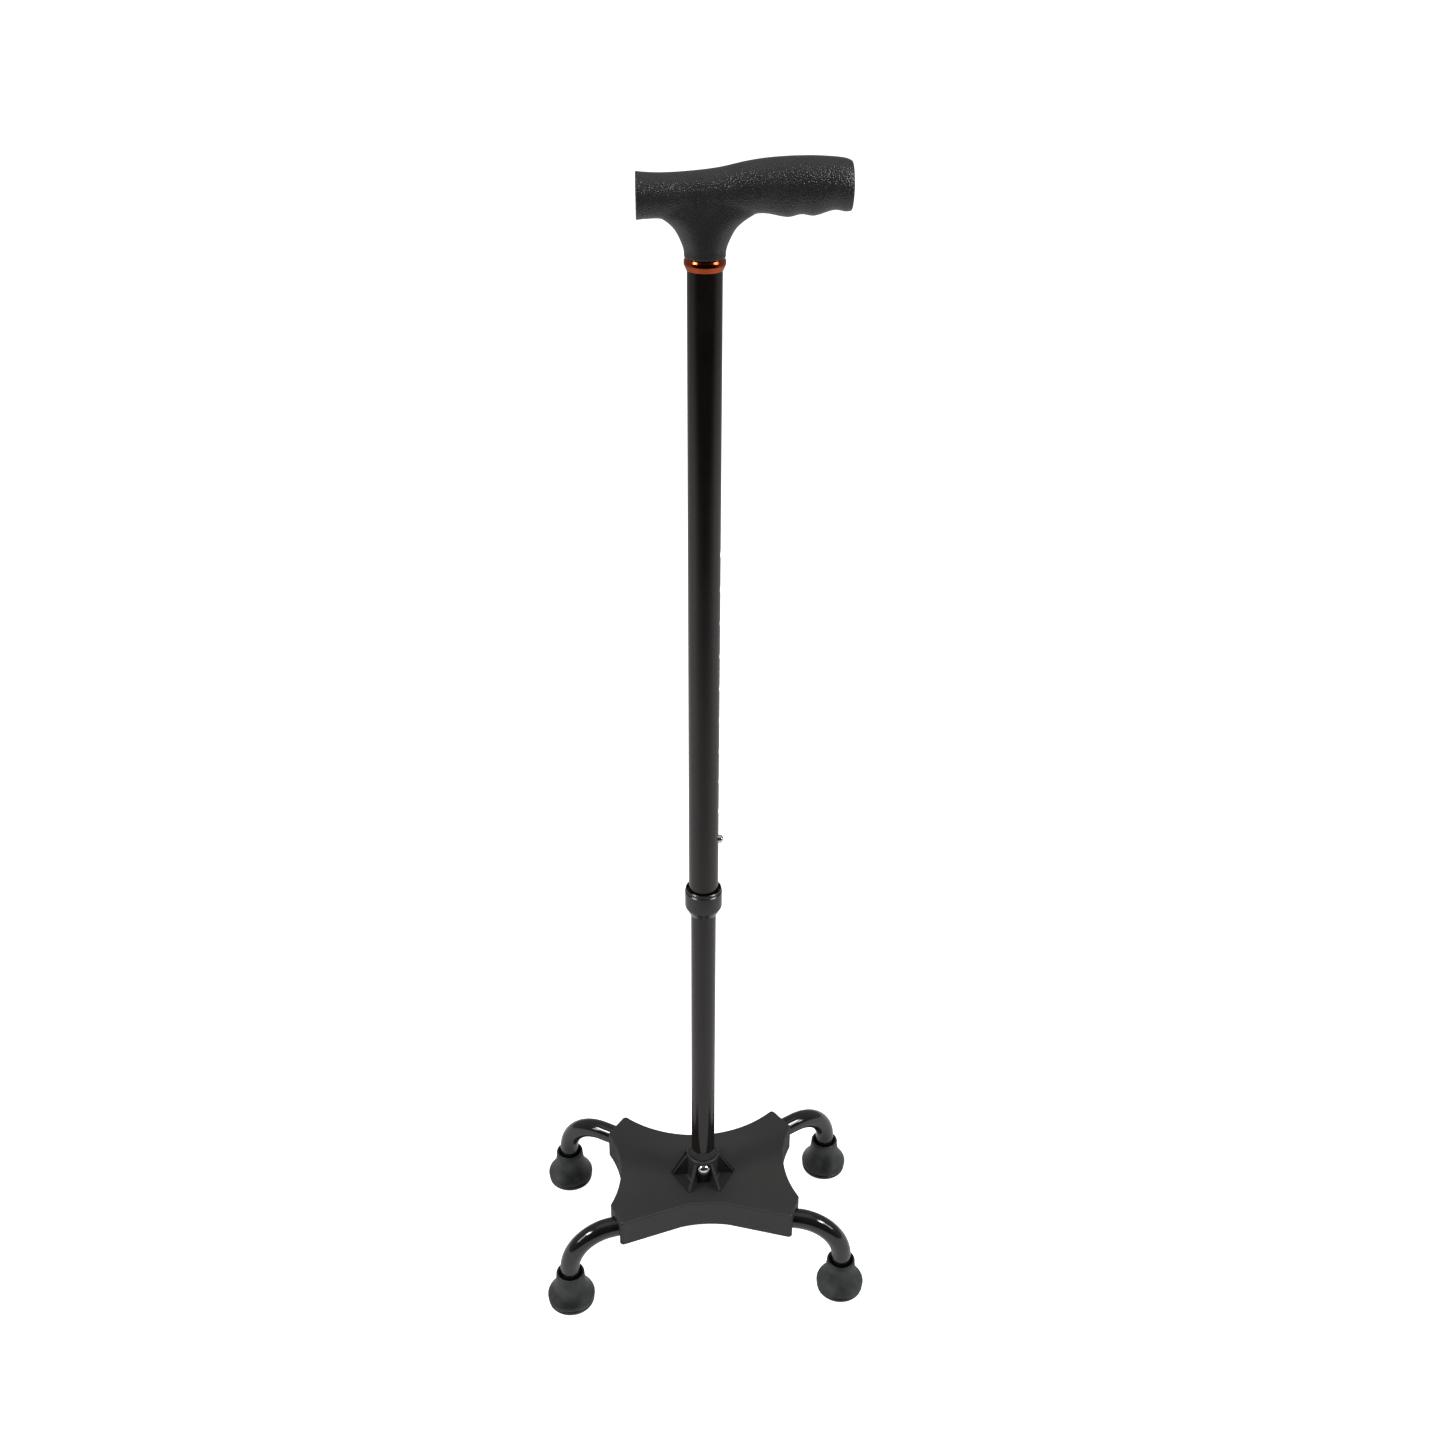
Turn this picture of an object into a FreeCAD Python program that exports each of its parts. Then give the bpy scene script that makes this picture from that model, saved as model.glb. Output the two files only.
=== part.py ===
"""Quad walking cane: a telescoping shaft on a four-legged base.

Every piece is drawn about the shaft's axis and then moved back by shaft_setback, so that
the origin lies on the floor, in the middle of the cane's own footprint. Z is up, the
short side of the base faces -Y and the long arm of the grip points to +X. Millimetres.
"""
import FreeCAD
import Part
import Sketcher
import math
import os
import re

from FreeCAD import Placement, Rotation, Vector

doc = FreeCAD.newDocument("QuadCane")

# ---------------------------------------------------------------- driving dimensions
DIMENSIONS = {
    # shaft
    "shaft_setback": 16.55,
    "outer_tube_radius": 11.0,
    "inner_tube_radius": 9.5,
    "tube_wall": 1.2,
    "outer_tube_foot": 366.0,
    "outer_tube_top": 882.0,
    "inner_tube_foot": 83.4,
    "inner_tube_top": 468.0,
    # height adjustment
    "button_height": 422.6,
    "hole_pitch": 25.4,
    "hole_count": 10,
    "outer_hole_radius": 3.3,
    "inner_hole_radius": 3.1,
    "button_radius": 3.0,
    "button_seat": 7.1,
    "button_side": 12.9,
    "button_tip": 14.5,
    "dome_flat": 0.5,
    "leaf_thickness": 0.6,
    "leaf_width": 8.0,
    "leaf_top": 434.0,
    "leaf_knee": 409.0,
    "leaf_foot": 381.0,
    "leaf_foot_radius": 2.6,
    "glide_radius": 9.7,
    "glide_cap": 3.0,
    "glide_depth": 12.0,
    # twist lock below the outer tube
    "nut_top": 380.0,
    "nut_shoulder": 377.0,
    "nut_skirt": 362.8,
    "nut_foot": 356.4,
    "nut_radius": 13.9,
    "nut_lip_radius": 13.3,
    "nut_foot_radius": 10.3,
    "nut_thread_radius": 12.6,
    "nut_seat_top": 362.7,
    "nut_seat_foot": 358.7,
    "nut_seat_foot_radius": 10.6,
    "nut_throat_radius": 9.8,
    "sleeve_thread_radius": 12.25,
    "sleeve_top": 377.4,
    "sleeve_foot": 364.4,
    "clamp_top": 364.0,
    "clamp_shoulder": 363.0,
    "clamp_foot": 359.5,
    "clamp_bore": 9.6,
    "clamp_radius": 12.25,
    "clamp_foot_radius": 10.5,
    "clamp_split": 1.6,
    # ring between the shaft and the grip
    "ring_foot": 838.8,
    "ring_step": 842.2,
    "ring_top": 846.3,
    "ring_radius": 12.9,
    "ring_foot_radius": 11.5,
    # grip core
    "core_bar_radius": 8.5,
    "core_bar_height": 883.6,
    "core_boss_radius": 12.3,
    "core_boss_foot": 862.0,
    "core_boss_top": 889.0,
    "core_heel_disc_radius": 12.0,
    "core_palm_disc_radius": 12.4,
    "core_disc_thickness": 1.6,
    # base cover
    "cover_top": 85.8,
    "cover_foot": 61.6,
    "cover_wall": 2.5,
    "cover_edge_round": 1.4,
    "cover_corner_round": 3.0,
    "front_tip_out": 69.5,
    "front_tip_ahead": 53.9,
    "front_side_out": 77.8,
    "front_side_ahead": 32.0,
    "back_side_out": 79.3,
    "back_side_behind": 48.4,
    "back_tip_out": 64.6,
    "back_tip_behind": 69.7,
    "front_bow_out": 20.0,
    "front_bow_ahead": 37.6,
    "front_bow_radius": 88.0,
    "back_bow_radius": 92.5,
    "side_bow_radius": 88.0,
    # hub on the cover
    "hub_top": 108.7,
    "hub_band_foot": 105.2,
    "hub_band_radius": 13.2,
    "hub_radius": 12.5,
    "hub_rib_reach": 25.3,
    "hub_rib_thickness": 2.4,
    "hub_recess": 1.2,
    "hub_fillet": 2.4,
    "bolt_boss_radius": 5.3,
    "bolt_boss_reach": 12.8,
    # steel inside the base
    "plate_top": 83.3,
    "plate_foot": 80.2,
    "plate_gap": 1.3,
    "saddle_width": 13.0,
    "saddle_inset": 10.0,
    "socket_radius": 11.3,
    "socket_lip": 9.75,
    "socket_shoulder": 109.6,
    "socket_top": 115.2,
    # cross bolt
    "bolt_height": 100.1,
    "bolt_radius": 3.0,
    "bolt_hole_radius": 3.15,
    "bolt_head_radius": 5.2,
    "bolt_head_depth": 3.3,
    "bolt_length": 33.5,
    "washer_radius": 5.2,
    "washer_thickness": 1.0,
    "nut_flats": 10.0,
    "nut_depth": 5.0,
    # legs
    "leg_radius": 8.0,
    "leg_wall": 1.5,
    "leg_height": 72.2,
    "leg_bend": 36.0,
    "front_leg_inside": 25.0,
    "back_leg_inside": 50.0,
    "leg_foot": 8.0,
    "front_foot_out": 112.3,
    "front_foot_ahead": 51.9,
    "back_foot_out": 115.0,
    "back_foot_behind": 85.0,
    "notch_clearance": 0.3,
    # rubber feet
    "foot_height": 32.0,
    "foot_neck_radius": 11.2,
    "foot_neck_base": 12.3,
    "foot_shoulder": 22.0,
    "foot_flare": 9.6,
    "foot_radius": 19.7,
    "foot_flare_radius": 30.0,
    "foot_groove_height": 4.4,
    "foot_groove_depth": 0.7,
    "foot_rim_radius": 18.6,
    "foot_sole_radius": 17.6,
    "foot_tread_depth": 1.4,
    "disc_foot": 5.6,
    "disc_top": 7.6,
    "disc_radius": 9.4,
}

# Sections of the grip along X: place, top, underside and half width
GRIP_SECTIONS = {
    "heel_end": (-41.3, 896.4, 868.4, 13.6),
    "heel_rim": (-38.0, 895.9, 868.9, 13.3),
    "heel": (-26.0, 895.4, 869.4, 12.9),
    "neck_front": (-10.0, 896.2, 869.6, 12.9),
    "neck_back": (8.0, 898.2, 870.0, 13.1),
    "rise": (24.0, 901.6, 871.4, 13.9),
    "first_groove": (36.0, 903.4, 871.8, 14.6),
    "first_crest": (49.4, 904.4, 869.6, 15.2),
    "middle_groove": (57.2, 904.6, 871.2, 15.2),
    "second_crest": (65.0, 904.6, 870.3, 15.2),
    "last_groove": (77.0, 903.9, 873.6, 14.7),
    "palm_rim": (84.0, 902.9, 872.6, 14.4),
    "palm_end": (87.3, 901.4, 873.0, 13.8),
}
# Sections of the grip's neck, upwards: height, half length along X and half width
NECK_SECTIONS = {
    "neck_foot": (846.3, 12.75, 12.75),
    "neck_low": (850.5, 12.95, 12.75),
    "neck_middle": (856.0, 15.1, 13.3),
    "neck_high": (863.4, 19.6, 13.9),
    "neck_flare": (868.0, 25.6, 13.9),
    "neck_root": (880.0, 30.0, 12.3),
}
for section, (place, top, underside, half_width) in GRIP_SECTIONS.items():
    DIMENSIONS[section + "_place"] = place
    DIMENSIONS[section + "_top"] = top
    DIMENSIONS[section + "_underside"] = underside
    DIMENSIONS[section + "_half_width"] = half_width
for section, (place, half_length, half_width) in NECK_SECTIONS.items():
    DIMENSIONS[section + "_place"] = place
    DIMENSIONS[section + "_half_length"] = half_length
    DIMENSIONS[section + "_half_width"] = half_width

sheet = doc.addObject("Spreadsheet::Sheet", "Dims")
for row, (alias, value) in enumerate(DIMENSIONS.items(), start=1):
    sheet.set(f"A{row}", alias)
    sheet.set(f"B{row}", str(value))
    sheet.setAlias(f"B{row}", alias)
doc.recompute()

# ---------------------------------------------------------------- shared helpers
WORD = re.compile(r"[a-z][a-z_]+")
FUNCTIONS = ("sqrt", "sin", "cos", "atan", "deg")


def bound(formula):
    """The formula as an expression on the sheet's cells."""
    return WORD.sub(lambda word: word.group() if word.group() in FUNCTIONS else "Dims." + word.group(),
                    str(formula))


def amount(formula):
    """The formula's value today, which places geometry before the solver runs."""
    text = WORD.sub(lambda word: word.group() if word.group() in FUNCTIONS
                    else f"({DIMENSIONS[word.group()]})", str(formula))
    return FreeCAD.Units.Quantity(text).Value


def bind(thing, **formulas):
    """Binds properties of a document object to the sheet; a__b stands for a.b."""
    for name, formula in formulas.items():
        thing.setExpression(name.replace("__", "."), bound(formula))
    return thing


def stand_on_axis(piece):
    """Moves a piece from the shaft's axis back to the part's own frame."""
    piece.setExpression("Placement.Base.y", "-Dims.shaft_setback")
    return piece


def new_body(label):
    body = doc.addObject("PartDesign::Body", label)
    body.Label = label
    return stand_on_axis(body)


def plane(body, role):
    return next(feature for feature in body.Origin.OriginFeatures if feature.Role == role)


def new_sketch(body, name, role="XZ_Plane", lift=None):
    """A sketch on one of the body's own planes, lifted off it by a formula."""
    sketch = body.newObject("Sketcher::SketchObject", name)
    sketch.AttachmentSupport = (plane(body, role), [""])
    sketch.MapMode = "FlatFace"
    if lift is not None:
        bind(sketch, AttachmentOffset__Base__z=lift)
    return sketch


def fix_point(sketch, geometry, end, place):
    """Ties one end of a sketch element to the sketch's axes by two formulas."""
    for kind, axis, formula in (("DistanceX", -2, place[0]), ("DistanceY", -1, place[1])):
        value = amount(formula)
        if abs(value) < 1e-9:
            sketch.addConstraint(Sketcher.Constraint("PointOnObject", geometry, end, axis))
            continue
        if value > 0:
            index = sketch.addConstraint(Sketcher.Constraint(kind, -1, 1, geometry, end, value))
            sketch.setExpression(f"Constraints[{index}]", bound(formula))
        else:
            index = sketch.addConstraint(Sketcher.Constraint(kind, geometry, end, -1, 1, -value))
            sketch.setExpression(f"Constraints[{index}]", bound(f"-({formula})"))


def draw(sketch, corners, bows=None):
    """Closes an outline through the corners, each a pair of formulas.

    bows gives, for the side that starts at a corner, the radius formula of the arc that
    replaces the straight line and the hand, left or right of travel, that its centre is on.
    """
    bows = bows or {}
    points = [Vector(amount(x), amount(y), 0) for x, y in corners]
    ends = []
    for i, start in enumerate(points):
        finish = points[(i + 1) % len(points)]
        if i not in bows:
            ends.append((sketch.addGeometry(Part.LineSegment(start, finish)), 1, 2))
            continue
        formula, hand = bows[i]
        radius = amount(formula)
        chord = finish - start
        left = Vector(-chord.y, chord.x, 0).normalize()
        side = 1 if hand == "left" else -1
        centre = (start + finish) / 2 + left * side * math.sqrt(radius**2 - chord.Length**2 / 4)
        turns = [math.atan2(p.y - centre.y, p.x - centre.x) for p in (start, finish)]
        circle = Part.Circle(centre, Vector(0, 0, 1), radius)
        if side > 0:
            arc = sketch.addGeometry(Part.ArcOfCircle(circle, turns[0], turns[1]))
            ends.append((arc, 1, 2))
        else:
            arc = sketch.addGeometry(Part.ArcOfCircle(circle, turns[1], turns[0]))
            ends.append((arc, 2, 1))
        index = sketch.addConstraint(Sketcher.Constraint("Radius", arc, radius))
        sketch.setExpression(f"Constraints[{index}]", bound(formula))
    for i, (geometry, first, last) in enumerate(ends):
        following, head, _ = ends[(i + 1) % len(ends)]
        sketch.addConstraint(Sketcher.Constraint("Coincident", geometry, last, following, head))
        fix_point(sketch, geometry, first, corners[i])
    return sketch


def draw_circle(sketch, radius, centre=("0", "0")):
    """A circle whose radius and centre are formulas."""
    middle = Vector(amount(centre[0]), amount(centre[1]), 0)
    circle = sketch.addGeometry(Part.Circle(middle, Vector(0, 0, 1), amount(radius)))
    index = sketch.addConstraint(Sketcher.Constraint("Radius", circle, amount(radius)))
    sketch.setExpression(f"Constraints[{index}]", bound(radius))
    fix_point(sketch, circle, 3, centre)
    return circle


def dome_radius(rise, reach):
    """Formula for the radius of an arc that leaves a dome's flat tip level and falls by rise."""
    return f"(({reach}) ^ 2 + ({rise}) ^ 2) / (2 * ({rise}))"


def turned(label, corners, bows=None):
    """A body turned about the shaft's axis from an outline of (radius, height)."""
    body = new_body(label)
    sketch = draw(new_sketch(body, label + "_outline"), corners, bows)
    turn = body.newObject("PartDesign::Revolution", label + "_turn")
    turn.Profile = sketch
    turn.ReferenceAxis = (sketch, ["V_Axis"])
    return body


def padded(body, sketch, length, name, reverse=False, midplane=False):
    pad = body.newObject("PartDesign::Pad", name)
    pad.Profile = sketch
    pad.Reversed = reverse
    if midplane:
        pad.SideType = "Symmetric"
    return bind(pad, Length=length)


def pocketed(body, sketch, name, length=None, reverse=False, midplane=False):
    """A pocket of the given depth, or right through. It has to take something away."""
    doc.recompute()
    before = body.Shape.Volume
    pocket = body.newObject("PartDesign::Pocket", name)
    pocket.Profile = sketch
    pocket.Reversed = reverse
    if midplane:
        pocket.SideType = "Symmetric"
    if length is None:
        pocket.Type = "ThroughAll"
    else:
        bind(pocket, Length=length)
    doc.recompute()
    if not body.Shape.Volume < before - 0.1:
        raise RuntimeError(f"{name} cuts nothing")
    return pocket


def polar(body, features, name, count):
    """Repeats features evenly round the body's Z axis."""
    pattern = body.newObject("PartDesign::PolarPattern", name)
    pattern.Originals = features
    pattern.Axis = (plane(body, "Z_Axis"), [""])
    pattern.Angle = 360
    pattern.Occurrences = count
    body.Tip = pattern
    return pattern


def cylinder(name, radius, height, place, tilt=None):
    """A Part cylinder bound to the sheet; place is three formulas."""
    piece = doc.addObject("Part::Cylinder", name)
    if tilt is not None:
        piece.Placement = Placement(Vector(), tilt)
    x, y, z = place
    return bind(piece, Radius=radius, Height=height, Placement__Base__x=x, Placement__Base__y=y,
                Placement__Base__z=z)


def boolean(kind, name, base, tool):
    result = doc.addObject("Part::" + kind, name)
    result.Base, result.Tool = base, tool
    return result


# ---------------------------------------------------------------- shaft
def lower_tube():
    """Inner tube: snap-button hole on +X near its top, cross-bolt hole near its foot."""
    body = turned("lower_tube", [
        ("inner_tube_radius - tube_wall", "inner_tube_foot"),
        ("inner_tube_radius", "inner_tube_foot"),
        ("inner_tube_radius", "inner_tube_top"),
        ("inner_tube_radius - tube_wall", "inner_tube_top"),
    ])
    button_hole = new_sketch(body, "button_hole", "YZ_Plane")
    draw_circle(button_hole, "inner_hole_radius", ("0", "button_height"))
    pocketed(body, button_hole, "button_hole_cut", "inner_tube_radius + 1", reverse=True)
    bolt_hole = new_sketch(body, "bolt_hole")
    draw_circle(bolt_hole, "bolt_hole_radius", ("0", "bolt_height"))
    pocketed(body, bolt_hole, "bolt_hole_cut", "3 * inner_tube_radius", midplane=True)
    return body


def upper_tube():
    """Outer tube with its row of adjustment holes on +X."""
    body = turned("upper_tube", [
        ("outer_tube_radius - tube_wall", "outer_tube_foot"),
        ("outer_tube_radius", "outer_tube_foot"),
        ("outer_tube_radius", "outer_tube_top"),
        ("outer_tube_radius - tube_wall", "outer_tube_top"),
    ])
    lowest_hole = new_sketch(body, "lowest_hole", "YZ_Plane")
    draw_circle(lowest_hole, "outer_hole_radius", ("0", "button_height"))
    cut = pocketed(body, lowest_hole, "lowest_hole_cut", "outer_tube_radius + 1", reverse=True)
    row = body.newObject("PartDesign::LinearPattern", "hole_row")
    row.Originals = [cut]
    row.Direction = (plane(body, "Z_Axis"), [""])
    bind(row, Length="hole_pitch * (hole_count - 1)", Occurrences="hole_count")
    body.Tip = row
    return body


def glide_plug():
    """Plastic plug that guides the inner tube's top end inside the outer tube."""
    return turned("glide_plug", [
        ("0", "inner_tube_top - glide_depth"),
        ("inner_tube_radius - tube_wall", "inner_tube_top - glide_depth"),
        ("inner_tube_radius - tube_wall", "inner_tube_top"),
        ("glide_radius", "inner_tube_top"),
        ("glide_radius", "inner_tube_top + glide_cap - 0.6"),
        ("glide_radius - 0.6", "inner_tube_top + glide_cap"),
        ("0", "inner_tube_top + glide_cap"),
    ])


def snap_button():
    """Steel button that drops into one hole of the outer tube."""
    body = new_body("snap_button")
    bind(body, Placement__Base__z="button_height")
    sketch = draw(new_sketch(body, "button_outline"), [
        ("button_seat", "0"),
        ("button_tip", "0"),
        ("button_tip", "dome_flat"),
        ("button_side", "button_radius"),
        ("button_seat", "button_radius"),
    ], {2: (dome_radius("button_tip - button_side", "button_radius - dome_flat"), "left")})
    turn = body.newObject("PartDesign::Revolution", "button_turn")
    turn.Profile = sketch
    turn.ReferenceAxis = (sketch, ["H_Axis"])
    return body


def snap_spring():
    """Bent leaf that carries the button and braces on the far wall of the inner tube."""
    body = new_body("snap_spring")
    outer, inner = "button_seat", "button_seat - leaf_thickness"
    bend, inner_bend = "leaf_foot_radius", "leaf_foot_radius - leaf_thickness"
    sketch = draw(new_sketch(body, "leaf_outline"), [
        (outer, "leaf_top"), (outer, "leaf_knee"), (bend, "leaf_foot"),
        (f"-{bend}", "leaf_foot"), (f"-{outer}", "leaf_knee"), (f"-{outer}", "leaf_top"),
        (f"-({inner})", "leaf_top"), (f"-({inner})", "leaf_knee"), (f"-({inner_bend})", "leaf_foot"),
        (inner_bend, "leaf_foot"), (inner, "leaf_knee"), (inner, "leaf_top"),
    ], {2: (bend + " * 1.001", "right"), 8: (f"({inner_bend}) * 1.001", "left")})
    padded(body, sketch, "leaf_width", "leaf_pad", midplane=True)
    return body


# ---------------------------------------------------------------- twist lock
def thread_sleeve():
    """Threaded sleeve fixed round the outer tube's foot."""
    return turned("thread_sleeve", [
        ("nut_throat_radius", "sleeve_foot"),
        ("sleeve_thread_radius", "sleeve_foot"),
        ("sleeve_thread_radius", "sleeve_top"),
        ("outer_tube_radius", "sleeve_top"),
        ("outer_tube_radius", "outer_tube_foot"),
        ("nut_throat_radius", "outer_tube_foot"),
    ])


def clamp_ring():
    """Split tapered ring that the lock nut squeezes on to the inner tube."""
    body = turned("clamp_ring", [
        ("clamp_bore", "clamp_foot"),
        ("clamp_foot_radius", "clamp_foot"),
        ("clamp_radius", "clamp_shoulder"),
        ("clamp_radius", "clamp_top"),
        ("clamp_bore", "clamp_top"),
    ])
    split = draw(new_sketch(body, "split", "XY_Plane", "clamp_top"), [
        ("-clamp_split / 2", "clamp_bore - 1"),
        ("clamp_split / 2", "clamp_bore - 1"),
        ("clamp_split / 2", "clamp_radius + 1"),
        ("-clamp_split / 2", "clamp_radius + 1"),
    ])
    pocketed(body, split, "split_cut", "clamp_top - clamp_foot + 1")
    return body


def lock_nut():
    """Collar nut: lip round the top, tapered skirt, conical seat for the clamp ring."""
    return turned("lock_nut", [
        ("nut_throat_radius", "nut_foot"),
        ("nut_foot_radius", "nut_foot"),
        ("nut_radius - 0.3", "nut_skirt"),
        ("nut_radius", "nut_skirt + 0.8"),
        ("nut_radius", "nut_shoulder - 0.7"),
        ("nut_lip_radius", "nut_shoulder"),
        ("nut_lip_radius", "nut_top"),
        ("nut_thread_radius", "nut_top"),
        ("nut_thread_radius", "nut_seat_top"),
        ("nut_seat_foot_radius", "nut_seat_foot"),
        ("nut_throat_radius", "nut_seat_foot - 1"),
    ])


# ---------------------------------------------------------------- handle
def neck_ring():
    """Metal ring under the grip, chamfered down to the tube."""
    return turned("neck_ring", [
        ("outer_tube_radius", "ring_foot"),
        ("ring_foot_radius", "ring_foot"),
        ("ring_radius", "ring_step"),
        ("ring_radius", "ring_top"),
        ("outer_tube_radius", "ring_top"),
    ])


def handle_core_blank():
    """Rigid insert before its socket is bored: bar, socket boss and two end discs."""
    along_x = Rotation(Vector(0, 1, 0), 90)
    bar = cylinder("core_bar", "core_bar_radius", "palm_end_place - heel_end_place",
                   ("heel_end_place", "0", "core_bar_height"), along_x)
    boss = cylinder("core_boss", "core_boss_radius", "core_boss_top - core_boss_foot",
                    ("0", "0", "core_boss_foot"))
    heel_disc = cylinder("core_heel_disc", "core_heel_disc_radius", "core_disc_thickness",
                         ("heel_end_place", "0", "(heel_end_top + heel_end_underside) / 2"), along_x)
    palm_disc = cylinder("core_palm_disc", "core_palm_disc_radius", "core_disc_thickness",
                         ("palm_end_place - core_disc_thickness", "0",
                          "(palm_end_top + palm_end_underside) / 2"), along_x)
    blank = doc.addObject("Part::MultiFuse", "core_blank")
    blank.Shapes = [bar, boss, heel_disc, palm_disc]
    return blank


def tube_space(name, foot):
    """The room that the outer tube takes up in the handle."""
    return cylinder(name, "outer_tube_radius", f"outer_tube_top - ({foot})", ("0", "0", foot))


def handle_core(blank):
    core = boolean("Cut", "handle_core", blank, tube_space("core_socket", "core_boss_foot"))
    return stand_on_axis(core)


def handle_grip(blank):
    """Moulded grip: a bar with finger grooves, flared down into a round neck."""
    across = Rotation(Vector(0, 1, 0), -90)
    slices = []
    for name in GRIP_SECTIONS:
        ellipse = doc.addObject("Part::Ellipse", "grip_" + name)
        ellipse.Placement = Placement(Vector(), across)
        slices.append(bind(
            ellipse,
            MajorRadius=f"({name}_top - {name}_underside) / 2",
            MinorRadius=f"{name}_half_width",
            Placement__Base__x=f"{name}_place",
            Placement__Base__z=f"({name}_top + {name}_underside) / 2",
        ))
    bar = doc.addObject("Part::Loft", "grip_bar")
    bar.Sections, bar.Solid, bar.Ruled = slices, True, False
    rings = []
    for name in NECK_SECTIONS:
        ellipse = doc.addObject("Part::Ellipse", "grip_" + name)
        rings.append(bind(ellipse, MajorRadius=f"{name}_half_length", MinorRadius=f"{name}_half_width",
                          Placement__Base__z=f"{name}_place"))
    neck = doc.addObject("Part::Loft", "grip_neck")
    neck.Sections, neck.Solid, neck.Ruled = rings, True, False
    skin = boolean("Fuse", "grip_skin", bar, neck)
    hollowed = boolean("Cut", "grip_hollowed", skin, blank)
    grip = boolean("Cut", "handle_grip", hollowed, tube_space("grip_socket", "neck_foot_place - 1"))
    return stand_on_axis(grip)


# ---------------------------------------------------------------- base
# For each pair of legs: where the foot stands and where the leg leaves the cover
LEG_PAIRS = {
    "front": {
        "foot_out": "front_foot_out",
        "foot_along": "-front_foot_ahead",
        "mouth_out": "(front_tip_out + front_side_out) / 2",
        "mouth_along": "-(front_tip_ahead + front_side_ahead) / 2",
    },
    "back": {
        "foot_out": "back_foot_out",
        "foot_along": "back_foot_behind",
        "mouth_out": "(back_tip_out + back_side_out) / 2",
        "mouth_along": "(back_tip_behind + back_side_behind) / 2",
    },
}
SIDES = {"left": -1, "right": 1}


def leg_heading(pair, side):
    """Formula for the angle from +X of the way that a leg leaves the cover."""
    ends = LEG_PAIRS[pair]
    along = f"({ends['foot_along']} - ({ends['mouth_along']}))"
    out = f"({ends['foot_out']} - ({ends['mouth_out']}))"
    return f"atan({along} / {out})" if side > 0 else f"180 deg - atan({along} / {out})"


def cross_leg_sketch(body, name, pair, side, inset):
    """A sketch square across a leg, its X sideways and its Y up, inset from the leg's mouth."""
    ends = LEG_PAIRS[pair]
    heading = leg_heading(pair, side)
    sketch = new_sketch(body, name)
    sketch.AttachmentOffset = Placement(Vector(), Rotation(Vector(0, 1, 0), 90))
    return bind(
        sketch,
        AttachmentOffset__Rotation__Angle=f"90 deg + {heading}",
        AttachmentOffset__Base__x=f"{side} * ({ends['mouth_out']}) - ({inset}) * cos({heading})",
        AttachmentOffset__Base__z=f"-({ends['mouth_along']}) + ({inset}) * sin({heading})",
    )


def draw_base_outline(sketch):
    """Eight-cornered plan with four bowed sides; the front bow runs out in straight lines."""
    corners = [
        ("-front_tip_out", "-front_tip_ahead"), ("-front_bow_out", "-front_bow_ahead"),
        ("front_bow_out", "-front_bow_ahead"), ("front_tip_out", "-front_tip_ahead"),
        ("front_side_out", "-front_side_ahead"), ("back_side_out", "back_side_behind"),
        ("back_tip_out", "back_tip_behind"), ("-back_tip_out", "back_tip_behind"),
        ("-back_side_out", "back_side_behind"), ("-front_side_out", "-front_side_ahead"),
    ]
    return draw(sketch, corners, {
        1: ("front_bow_radius", "right"),
        4: ("side_bow_radius", "right"),
        6: ("back_bow_radius", "right"),
        8: ("side_bow_radius", "right"),
    })


def drawn_in(body, outline, name, margin):
    """The outline again, moved inwards by the margin all round."""
    inner = body.newObject("PartDesign::SubShapeBinder", name)
    inner.Support = [(outline, ("",))]
    return bind(inner, Offset=f"-({margin})")


def edges_where(body, wanted):
    """Names of the body's edges that the test picks."""
    return [f"Edge{i}" for i, edge in enumerate(body.Shape.Edges, start=1) if wanted(edge)]


def rounded(body, name, edges, radius):
    base = body.Tip
    fillet = body.newObject("PartDesign::Fillet", name)
    fillet.Base = (base, edges)
    bind(fillet, Radius=radius)
    doc.recompute()
    return fillet


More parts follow.
